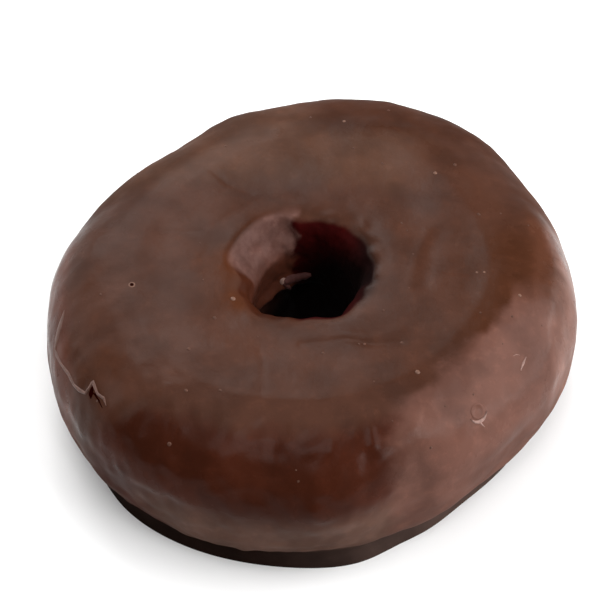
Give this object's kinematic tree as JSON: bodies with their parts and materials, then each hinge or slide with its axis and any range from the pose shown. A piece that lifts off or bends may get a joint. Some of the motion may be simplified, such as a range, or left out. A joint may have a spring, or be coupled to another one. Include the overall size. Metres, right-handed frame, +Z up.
{
  "type": "chocolate ring doughnut",
  "caption": "Ring doughnut coated all over in dark chocolate, uneven in outline, with an open hole and a narrow foot of set coating round its flat base.",
  "frame": {"origin": "on the surface the doughnut stands on, under the middle of its bounding box", "axes": "+Z up, out of the doughnut's top; -Y towards the side shown in front; +X to the right as shown"},
  "size_m": [0.0848, 0.0852, 0.0281],
  "materials": {
    "chocolate": "satin dark chocolate, with a soft shine"
  },
  "bodies": {
    "root": {"chocolate_doughnut": "chocolate"}
  },
  "joints": []
}
